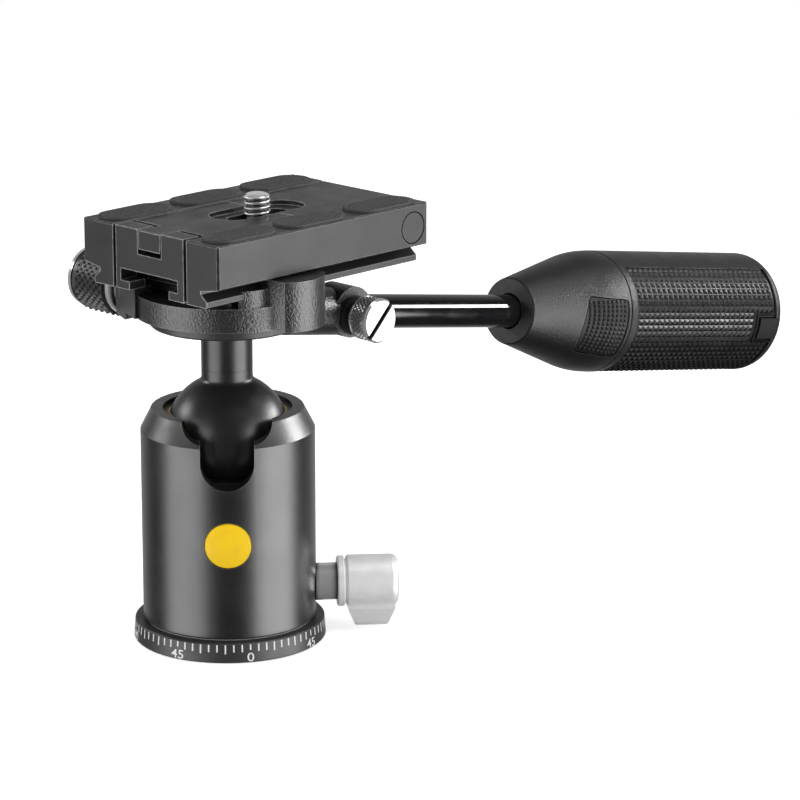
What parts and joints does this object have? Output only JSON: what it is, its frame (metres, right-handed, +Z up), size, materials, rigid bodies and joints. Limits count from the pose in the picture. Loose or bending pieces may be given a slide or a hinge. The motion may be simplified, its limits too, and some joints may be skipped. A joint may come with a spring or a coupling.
{
  "type": "tripod ball head",
  "caption": "Ball head with a panning base, drop notch, twist-grip locking handle, dovetail quick-release clamp and a folding phone-clamp plate.",
  "frame": {"origin": "centre of the tripod thread at the underside of the base, where the head sits on the tripod", "axes": "+Z up along the pan axis; +X along the plate and out to the grip; +Y towards the clamp knob"},
  "size_m": [0.2139, 0.0691, 0.1051],
  "materials": {
    "base_black": "satin black anodised, turned",
    "housing_black": "fine matt black anodised",
    "ball_black": "smooth semi-gloss black anodised",
    "liner_gold": "satin gold-coloured bearing ring",
    "badge_orange": "glossy domed orange",
    "casting_black": "black powder coat, fine grain",
    "plate_black": "matt black anodised with bright chamfers",
    "rod_black": "gloss black",
    "knob_black": "knurled black anodised",
    "bright_steel": "polished and satin turned steel",
    "knob_silver": "satin natural aluminium",
    "inner_steel": "plain machined steel",
    "grip_plastic": "fine moulded matt plastic",
    "grip_rubber": "soft rubber with fine square pyramids",
    "pad_rubber": "ribbed rubber",
    "thumb_rubber": "dimpled rubber",
    "tab_plastic": "smooth hard plastic",
    "nylon": "natural nylon"
  },
  "bodies": {
    "base": {"base_plate": "base_black", "pan_spindle": "inner_steel", "thread_bush": "bright_steel", "base_screws": "inner_steel", "thrust_washer": "nylon", "upper_washer": "nylon", "retaining_ring": "inner_steel", "spindle_screw": "inner_steel"},
    "housing": {"housing": "housing_black", "pan_carrier": "inner_steel", "adjuster_ring": "inner_steel", "disc_springs": "inner_steel", "lower_seat": "housing_black", "liner_ring": "liner_gold", "housing_badge": "badge_orange"},
    "pan_shoe": {"pan_brake_shoe": "nylon"},
    "pan_knob": {"pan_knob_shaft": "bright_steel", "pan_knob": "knob_silver"},
    "ball": {"ball": "ball_black"},
    "ball_shoe": {"brake_shoe": "inner_steel"},
    "platform": {"stem": "ball_black", "flange_disc": "base_black", "clamp_body": "casting_black", "deck_screws": "inner_steel", "flange_grub_screw": "base_black", "jaw_springs": "inner_steel", "lock_washer": "knob_black", "handle_rod": "rod_black", "grip_cone": "grip_plastic", "thumb_pad": "thumb_rubber"},
    "rod_lock": {"rod_lock_pad": "nylon"},
    "thumbscrew": {"thumbscrew": "bright_steel"},
    "jaw": {"clamp_jaw": "casting_black", "guide_pins": "inner_steel"},
    "clamp_knob": {"clamp_bolt": "inner_steel", "clamp_ring": "bright_steel", "clamp_knob": "knob_black", "knob_end_ring": "bright_steel"},
    "grip": {"grip_sleeve": "grip_plastic", "grip_cover": "grip_rubber", "grip_core": "grip_plastic", "drive_nut": "inner_steel", "end_tab": "tab_plastic"},
    "drive_rod": {"drive_rod": "inner_steel"},
    "push_pin": {"push_pin": "inner_steel"},
    "plate": {"plate_frame": "plate_black", "grip_pads": "pad_rubber", "pivot_pins": "plate_black", "phone_jaw_springs": "inner_steel"},
    "phone_jaw": {"phone_jaw": "plate_black"},
    "arm": {"arm_far_panel": "plate_black", "arm_near_panel": "plate_black", "arm_links": "inner_steel"},
    "screw_slider": {"screw_slider": "plate_black"},
    "camera_screw": {"camera_screw": "bright_steel"}
  },
  "joints": [
    {"name": "pan", "type": "hinge", "parent": "base", "child": "housing", "pos_m": [0, 0, 0.02], "axis": [0, 0, 1], "continuous": true},
    {"name": "pan_shoe_slide", "type": "slide", "parent": "housing", "child": "pan_shoe", "axis": [0.7547, -0.6561, 0], "range_m": [0, 0.0004]},
    {"name": "pan_knob_turn", "type": "hinge", "parent": "pan_shoe", "child": "pan_knob", "pos_m": [0, 0, 0.0122], "axis": [0.7547, -0.6561, 0], "range_deg": [0, 180]},
    {"name": "tilt", "type": "hinge", "parent": "housing", "child": "ball", "pos_m": [0, 0, 0.0492], "axis": [0.7218, -0.6921, 0], "range_deg": [-30, 90]},
    {"name": "swivel", "type": "hinge", "parent": "ball", "child": "platform", "pos_m": [0, 0, 0.06], "axis": [0, 0, 1], "continuous": true},
    {"name": "ball_shoe_slide", "type": "slide", "parent": "ball", "child": "ball_shoe", "axis": [0, 0, 1], "range_m": [0, 0.0008]},
    {"name": "rod_lock_slide", "type": "slide", "parent": "platform", "child": "rod_lock", "axis": [0, -1, 0], "range_m": [0, 0.0007]},
    {"name": "thumbscrew_turn", "type": "hinge", "parent": "rod_lock", "child": "thumbscrew", "pos_m": [0.0365, 0, 0.07232], "axis": [0, -1, 0], "range_deg": [0, 360]},
    {"name": "clamp_jaw_slide", "type": "slide", "parent": "platform", "child": "jaw", "axis": [0, 1, 0], "range_m": [0, 0.0032]},
    {"name": "clamp_knob_turn", "type": "hinge", "parent": "jaw", "child": "clamp_knob", "pos_m": [-0.008, 0.03, 0.0824], "axis": [0, 1, 0], "range_deg": [0, 1440]},
    {"name": "grip_turn", "type": "hinge", "parent": "platform", "child": "grip", "pos_m": [0.14771, 0, 0.05266], "axis": [0.9847, 0, -0.1742], "range_deg": [0, 90]},
    {"name": "drive_rod_slide", "type": "slide", "parent": "platform", "child": "drive_rod", "axis": [0.9847, 0, -0.1742], "range_m": [0, 0.0008]},
    {"name": "push_pin_slide", "type": "slide", "parent": "platform", "child": "push_pin", "axis": [0, 0, 1], "range_m": [0, 0.0008]},
    {"name": "plate_slide", "type": "slide", "parent": "platform", "child": "plate", "axis": [1, 0, 0], "range_m": [-0.015, 0.015]},
    {"name": "phone_jaw_pull", "type": "slide", "parent": "plate", "child": "phone_jaw", "axis": [-1, 0, 0], "range_m": [0, 0.022], "stiffness_N_per_m": 150, "springref_m": -0.01},
    {"name": "arm_fold", "type": "hinge", "parent": "plate", "child": "arm", "pos_m": [0.03995, 0.00108, 0.0956], "axis": [0, 1, 0], "range_deg": [0, 90]},
    {"name": "screw_slide", "type": "slide", "parent": "arm", "child": "screw_slider", "axis": [1, 0, 0], "range_m": [-0.006, 0.006]},
    {"name": "camera_screw_turn", "type": "hinge", "parent": "screw_slider", "child": "camera_screw", "pos_m": [0.0112, 0.00108, 0.097], "axis": [0, 0, 1], "continuous": true}
  ],
  "couplings": [
    {"joint": "pan_knob_turn", "follows": "pan_shoe_slide", "rad_per_m": 7854},
    {"joint": "thumbscrew_turn", "follows": "rod_lock_slide", "rad_per_m": 8976},
    {"joint": "clamp_knob_turn", "follows": "clamp_jaw_slide", "rad_per_m": 7854},
    {"joint": "drive_rod_slide", "follows": "grip_turn", "m_per_rad": 0.0005093},
    {"joint": "push_pin_slide", "follows": "grip_turn", "m_per_rad": 0.0005093},
    {"joint": "ball_shoe_slide", "follows": "grip_turn", "m_per_rad": 0.0005093}
  ]
}
